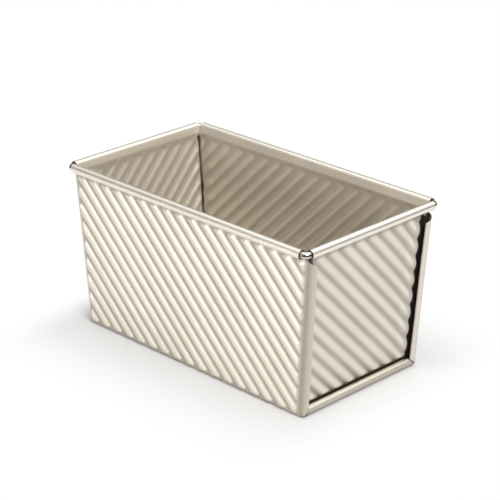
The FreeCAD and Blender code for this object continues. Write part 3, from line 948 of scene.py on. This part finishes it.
# %% Columns of an end panel
PANEL_FAN_ROOM = 3.4 * MM
PANEL_FAN_STEPS = 10
INNER_Y = math.floor((panel_side(0.0) - PANEL_FAN_ROOM) / STEP) * STEP
panel_end = [(i / PANEL_FAN_STEPS, None) for i in range(1, PANEL_FAN_STEPS + 1)]
panel_end += [(1.0, point) for point in side_line[1:]]
even = round(INNER_Y / STEP)
panel_columns = [(share, point, -1) for share, point in reversed(panel_end)]
panel_columns += [(k * STEP, None, 0) for k in range(-even, even + 1)]
panel_columns += [(share, point, 1) for share, point in panel_end]
print("panel width:", len(panel_columns), "columns")


# %% Points of an end panel
def corner_limit(distance):
    """How near a flange may come to the other one at a bottom corner, where the trough is bent."""
    return max(distance, 2 * FLOOR_BEND - distance) + SEAM_CLEARANCE


def top_width(x, z):
    """Half width of the panel's top: it clears the flares of the long walls on its way up to the roll."""
    corner_z = flare_corner(END_SLOPE)
    foot = wall_middle(corner_z) - SHEET - 2 * SEAM_CLEARANCE
    share = (z - corner_z) / (RIM_Z + SHEET - corner_z)
    return ROLL_END_Y if x > RIM_X else foot + (ROLL_END_Y - foot) * min(1.0, max(0.0, share))


def panel_point(row, column):
    """Middle of the sheet at a row and a column. The last columns turn outward as the flange."""
    x, z, zone = row
    place, point, side = column
    width = top_width(x, z) if zone >= TOP else panel_side(max(z, PANEL_LOW))
    if point:
        inset = FLANGE_REACH - point[1]
        height = slid(slid(z, PANEL_LOW, corner_limit(inset)), SHOULDER, SHOULDER - inset)
        return x + point[0], side * (width + point[1]), height
    y = INNER_Y + place * (width - INNER_Y) if side else abs(place)
    if zone == FOOT:
        y = slid(y, width, HALF_WIDTH - corner_limit(z))
    return x, y * (side or (1 if place >= 0 else -1)), z


panel_points = grid_points(panel_point, panel_rows, panel_columns)
print("panel points", panel_points.shape)

# %% [markdown]
# ## Painted shade on the end panels
# Painted shade darkens the valleys between the ribs, most of all at the foot, and the open slots beside
# and under the panel are painted near black. A noise pattern could scatter the shade anywhere. This rule
# knows where the ribs are, so that the shade lies in their valleys.

# %% Painted shade of an end panel
FOOT_PAINTED_SHADE = 0.95
FOOT_SHADE_REACH = 19.5 * MM
FOOT_SHADE_TILT = 13.0 * MM


def foot_painted_shade(across, upward, above):
    """Painted shade in the valleys of the panel's ribs. It is full at the foot and reaches higher on the
    left.
    """
    turns = (across * math.sin(RIB_SLANT) + upward * math.cos(RIB_SLANT) - PANEL_RIB_SHIFT) / RIB_PITCH
    valley = 2 * abs(turns - round(turns))
    reach = FOOT_SHADE_REACH - FOOT_SHADE_TILT * across / HALF_WIDTH
    return FOOT_PAINTED_SHADE * valley ** 3 * max(0.0, 1.0 - above / reach) ** 2


# Printed: how high the painted shade reaches.
print("grime reaches", round(FOOT_SHADE_REACH / MM, 1), "mm up in the middle of a panel")

# %% Faces and fields of an end panel
FOLD_REACH = 11.0 * MM
SLOT_EDGE = 2.9 * MM
SHADE_FADE = 0.5 * MM


def panel_keeps(row, after, column, beyond):
    """Whether the sheet is there: the side flanges stop at the foot and at the flare."""
    bent = bool(column[1] or beyond[1])
    return not (bent and (row[2] != PANEL or after[2] != PANEL))


def panel_fields(row, column, point):
    """What the rib tree and the finishes read at a point of an end panel, in the order of grid_mesh."""
    x, z, zone = row
    bent = column[1]
    across, upward = point[1], point[2] / math.cos(END_SLOPE)
    share, slot_shade, painted_light, fold, painted_shade = 0.0, 1.0, 0.0, 0.0, 0.0
    # Painted highlight on the roll and painted shade in the flare's crease. The foot and the flanges are
    # painted near black.
    if zone >= TOP:
        slot_shade = 0.0
        painted_light = RIM_PAINTED_HIGHLIGHT if zone == TOP_ROLL else -CREASE_PAINTED_SHADE
    elif zone == PANEL:
        share = smooth((z - PANEL_FIELD_LOW) / RIB_FOOT) * smooth((PANEL_FIELD_HIGH - z) / RIB_FADE)
        from_edge = panel_side(z) - SLOT_EDGE - abs(across)
        # Beside the right-hand fold a painted highlight lifts the coating's colour, and the coating turns
        # matt.
        if across > 0:
            fold = min(1.0, max(0.0, 1.0 - from_edge / FOLD_REACH))
        if bent:
            share *= max(0.0, 1.0 - bent[0] / RIB_HEIGHT)
        # Painted shade in the valleys at the foot and along the slots.
        else:
            unshaded = 1.0 - foot_painted_shade(across, upward, z - FOOT_SLOT_HIGH)
            unshaded *= smooth((z - FOOT_SLOT_HIGH) / SHADE_FADE) * smooth(1.0 + from_edge / SHADE_FADE)
            slot_shade = 1.0 - unshaded
    # Painted shade on the flange's curl inside the trough's bead.
    if bent and bent[0] > FLANGE_MIDDLE + side_run:
        painted_shade = 1.0
    out = (math.cos(END_SLOPE), 0.0, -math.sin(END_SLOPE))
    return (across, upward, share), out, slot_shade, painted_light, fold, painted_shade


panel_keep = grid_keep(panel_keeps, panel_rows, panel_columns)
panel_layers = grid_layers(panel_fields, panel_rows, panel_columns, panel_points)
print("a panel keeps", int(panel_keep.sum()), "of", panel_keep.size, "quads")

# %% The end panel at +X
panel_mesh = grid_mesh("end_panel", panel_points, panel_keep, *panel_layers)
panel_finishes = (coat_inside, coat_outside, cut_edge)
right_panel = finish_sheet("ribbed_end_right", panel_mesh, panel_finishes, PANEL_RIB_SHIFT)
print("right panel is", round(right_panel.dimensions.y / MM, 1), "mm wide")

# %% The end panel at -X
left_panel = bpy.data.objects.new("ribbed_end_left", right_panel.data.copy())
left_panel.data.transform(Matrix.Rotation(math.pi, 4, "Z"))
bpy.context.scene.collection.objects.link(left_panel)
print("left panel reaches x", round(min(v.co.x for v in left_panel.data.vertices) / MM, 2), "mm")

# %% [markdown]
# ## The rim wire
# A round wire stiffens the rim. It runs inside the four rolls and is bare at the corners, where the rolls
# stop short of the bends. A curve object with a round bevel would do. A small node tree does the same and
# keeps the sizes as named inputs: a rectangle with rounded corners, swept with a circle.

# %% Tree that bends the wire
WIRE_CORNER_STEPS = 16
WIRE_SIDES = 32


def wire_tree():
    """Tree that makes a closed loop of round wire."""
    tree = bpy.data.node_groups.new("bend_wire", "GeometryNodeTree")
    face = tree.interface
    for name in ("Length", "Width", "Level", "Corner radius", "Wire radius"):
        face.new_socket(name, in_out="INPUT", socket_type="NodeSocketFloat")
    face.new_socket("Finish", in_out="INPUT", socket_type="NodeSocketMaterial")
    face.new_socket("Geometry", in_out="OUTPUT", socket_type="NodeSocketGeometry")
    group = tree.nodes.new("NodeGroupInput")
    length, width, level, corner, radius, finish = [Socket(tree, s) for s in group.outputs[:6]]
    loop = node(tree, "GeometryNodeCurvePrimitiveQuadrilateral", None, {"Width": length, "Height": width})
    rounded = node(tree, "GeometryNodeFilletCurve", {"mode": "POLY"}, {
        "Curve": loop, "Count": WIRE_CORNER_STEPS, "Radius": corner,
    })
    lift = node(tree, "ShaderNodeCombineXYZ", None, {"Z": level})
    raised = node(tree, "GeometryNodeSetPosition", None, {"Geometry": rounded, "Offset": lift})
    circle = node(tree, "GeometryNodeCurvePrimitiveCircle", None, {
        "Resolution": WIRE_SIDES, "Radius": radius,
    })
    swept = node(tree, "GeometryNodeCurveToMesh", None, {"Curve": raised, "Profile Curve": circle})
    single = node(tree, "GeometryNodeRealizeInstances", None, {"Geometry": swept})
    dressed = node(tree, "GeometryNodeSetMaterial", None, {"Geometry": single, "Material": finish})
    out = tree.nodes.new("NodeGroupOutput")
    tree.links.new(dressed.socket, out.inputs[0])
    return tree


bend_wire = wire_tree()
print("wire tree has", len(bend_wire.nodes), "nodes")

# %% The wire
wire = bpy.data.objects.new("rim_stiffening_wire", bpy.data.meshes.new("rim_stiffening_wire"))
bpy.context.scene.collection.objects.link(wire)
bends = wire.modifiers.new("bends", "NODES")
bends.node_group = bend_wire
set_inputs(bends, {
    "Length": 2 * RIM_X, "Width": 2 * RIM_Y, "Level": RIM_Z,
    "Corner radius": CORNER_RADIUS, "Wire radius": WIRE_RADIUS, "Finish": wire_metal,
})
wire.data = evaluated_copy(wire)
wire.modifiers.clear()
wire.data.shade_smooth()
print("wire has", len(wire.data.polygons), "faces")

# %% [markdown]
# ## Place in the frame
# Each visual piece stands for its CAD solid and rides on the same body, and the solid is hidden. Parenting
# by hand would move the pieces too. The finish names in the table are not used.

# %% Ride and replace
for piece, solid, finish in (
    (trough, "trough", "coated_sheet"),
    (right_panel, "end_panel_right", "coated_sheet"),
    (left_panel, "end_panel_left", "coated_sheet"),
    (wire, "rim_wire", "rim_wire"),
):
    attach(piece, "root")
    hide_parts(solid)
    print(piece.name, "stands for", solid)

# %% [markdown]
# ## Floor
# The pan stands on a plain pale floor with a faint shadow. A floor that only catches shadows could do
# that, but the metal would mirror nothing. So this floor is a real one. Where it is seen directly or
# mirrored in the metal, it turns white with the distance from the pan, and a soft shadow stays beside it.

# %% Floor finish
FLOOR_ROUGHNESS = 0.9
FLOOR_LIT = (0.25, 0.25, 0.25, 1.0)
FLOOR_SEEN = (0.73, 0.73, 0.73, 1.0)
FLOOR_SEEN_WHITE = 0.07
SHADOW_REACH = 72.0 * MM
SHADOW_SHAPE = (1.9, 1.0, 1.0)


def seen_directly(tree):
    """1 for rays from the camera, from mirror-like surfaces and through clear ones, 0 for diffuse light."""
    camera_ray = node(tree, "ShaderNodeLightPath", None, None, "Is Camera Ray")
    mirror_ray = node(tree, "ShaderNodeLightPath", None, None, "Is Glossy Ray")
    through_ray = node(tree, "ShaderNodeLightPath", None, None, "Is Transmission Ray")
    return camera_ray.math("MAXIMUM", mirror_ray).math("MAXIMUM", through_ray)


def whiteness(tree):
    """How white the floor looks: little beside the pan and fully from the shadow's reach on."""
    beside = node(tree, "ShaderNodeVectorMath", {"operation": "ABSOLUTE"}, [object_place(tree)])
    foot = (FLOOR_LENGTH / 2, FLOOR_WIDTH / 2, 0.0)
    beyond = node(tree, "ShaderNodeVectorMath", {"operation": "SUBTRACT"}, [beside, foot])
    outside = node(tree, "ShaderNodeVectorMath", {"operation": "MAXIMUM"}, [beyond, (0.0, 0.0, 0.0)])
    shaped = node(tree, "ShaderNodeVectorMath", {"operation": "MULTIPLY"}, [outside, SHADOW_SHAPE])
    away = node(tree, "ShaderNodeVectorMath", {"operation": "LENGTH"}, [shaped], "Value")
    return node(tree, "ShaderNodeMapRange", {"interpolation_type": "SMOOTHSTEP"}, {
        "Value": away, "From Min": 0.0, "From Max": SHADOW_REACH,
        "To Min": FLOOR_SEEN_WHITE, "To Max": 1.0,
    })


def floor_finish():
    """Pale floor that glows white where it is seen away from the pan."""
    material, tree, shader = new_finish("pale_floor")
    seen = seen_directly(tree)
    colour = mix_colour(tree, seen, FLOOR_LIT, FLOOR_SEEN)
    tree.links.new(colour.socket, shader.inputs["Base Color"])
    shader.inputs["Roughness"].default_value = FLOOR_ROUGHNESS
    shader.inputs["Specular IOR Level"].default_value = 0.0
    white = node(tree, "ShaderNodeEmission", None, {"Strength": 1.0})
    plain = Socket(tree, shader.outputs[0])
    surface = node(tree, "ShaderNodeMixShader", None, [seen * whiteness(tree), plain, white])
    tree.links.new(surface.socket, tree.nodes["Material Output"].inputs["Surface"])
    return material


pale_floor = floor_finish()
print("floor finish:", pale_floor.name)

# %% Floor
FLOOR_HALF = 4.0
floor_mesh = bpy.data.meshes.new("studio_floor")
floor_corners = [(FLOOR_HALF * x, FLOOR_HALF * y, 0.0) for x, y in ((-1, -1), (1, -1), (1, 1), (-1, 1))]
floor_mesh.from_pydata(floor_corners, [], [(0, 1, 2, 3)])
floor_mesh.materials.append(pale_floor)
floor = bpy.data.objects.new("studio_floor", floor_mesh)
bpy.context.scene.collection.objects.link(floor)
floor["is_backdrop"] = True
print("floor is", round(floor.dimensions.x, 1), "m wide")

# %% [markdown]
# ## Light
# Three softboxes light the pan: a large one overhead is the key, one on the right lights the end panel,
# and a low strip in front is mirrored by the flanks of the long wall's ribs. The room gives even light.
# Mirrored, it is dim at the horizon and bright overhead. A picture of a studio could light everything at
# once, but lamps and a plain room can be moved one by one until each highlight sits where it should.

# %% World
ROOM_LEVEL = 0.30
HORIZON_LEVEL = 0.15
OVERHEAD_LEVEL = 0.75
HORIZON_RISE = 0.35
OVERHEAD_RISE = 0.75


def make_world():
    """Even room light that looks dim at the horizon and bright overhead where metal mirrors it."""
    world = bpy.data.worlds.new("studio_room")
    bpy.context.scene.world = world
    world.use_nodes = True
    tree = world.node_tree
    direction = node(tree, "ShaderNodeTexCoord", None, None, "Generated")
    upward = node(tree, "ShaderNodeSeparateXYZ", None, [direction], 2)
    mirrored = node(tree, "ShaderNodeMapRange", {"interpolation_type": "SMOOTHSTEP"}, {
        "Value": upward, "From Min": HORIZON_RISE, "From Max": OVERHEAD_RISE,
        "To Min": HORIZON_LEVEL, "To Max": OVERHEAD_LEVEL,
    })
    level = ROOM_LEVEL + seen_directly(tree) * (mirrored - ROOM_LEVEL)
    background = tree.nodes["Background"]
    background.inputs["Color"].default_value = (1.0, 1.0, 1.0, 1.0)
    tree.links.new(level.socket, background.inputs["Strength"])
    return world


world = make_world()
print("world", world.name)

# %% Lamps
LAMP_AIM = Vector((0.0, 0.0, 0.05))


def softbox(name, place, width, height, power):
    """Rectangular soft lamp aimed at the pan."""
    data = bpy.data.lights.new(name, "AREA")
    data.shape = "RECTANGLE"
    data.size = width
    data.size_y = height
    data.energy = power
    lamp = bpy.data.objects.new(name, data)
    lamp.location = place
    lamp.rotation_euler = (Vector(place) - LAMP_AIM).to_track_quat("Z", "Y").to_euler()
    bpy.context.scene.collection.objects.link(lamp)
    return lamp


softbox("key_softbox", (0.20, 0.25, 1.30), 2.6, 2.6, 16.0)
softbox("right_softbox", (1.12, -0.50, 1.00), 0.6, 0.6, 18.5)
softbox("front_strip", (-0.30, -1.58, 0.30), 1.1, 0.5, 9.9)
bpy.context.scene.view_settings.view_transform = "Standard"

# %% [markdown]
# ## Both boxes
# The visual pieces should fill the CAD box and not outgrow it. The sizes of both boxes are printed.

# %% Sizes of both boxes
visual_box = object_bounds()
for label, box in (("CAD", cad_box), ("visual", visual_box)):
    print(label, [round((box[1][i] - box[0][i]) / MM, 2) for i in range(3)], "mm")
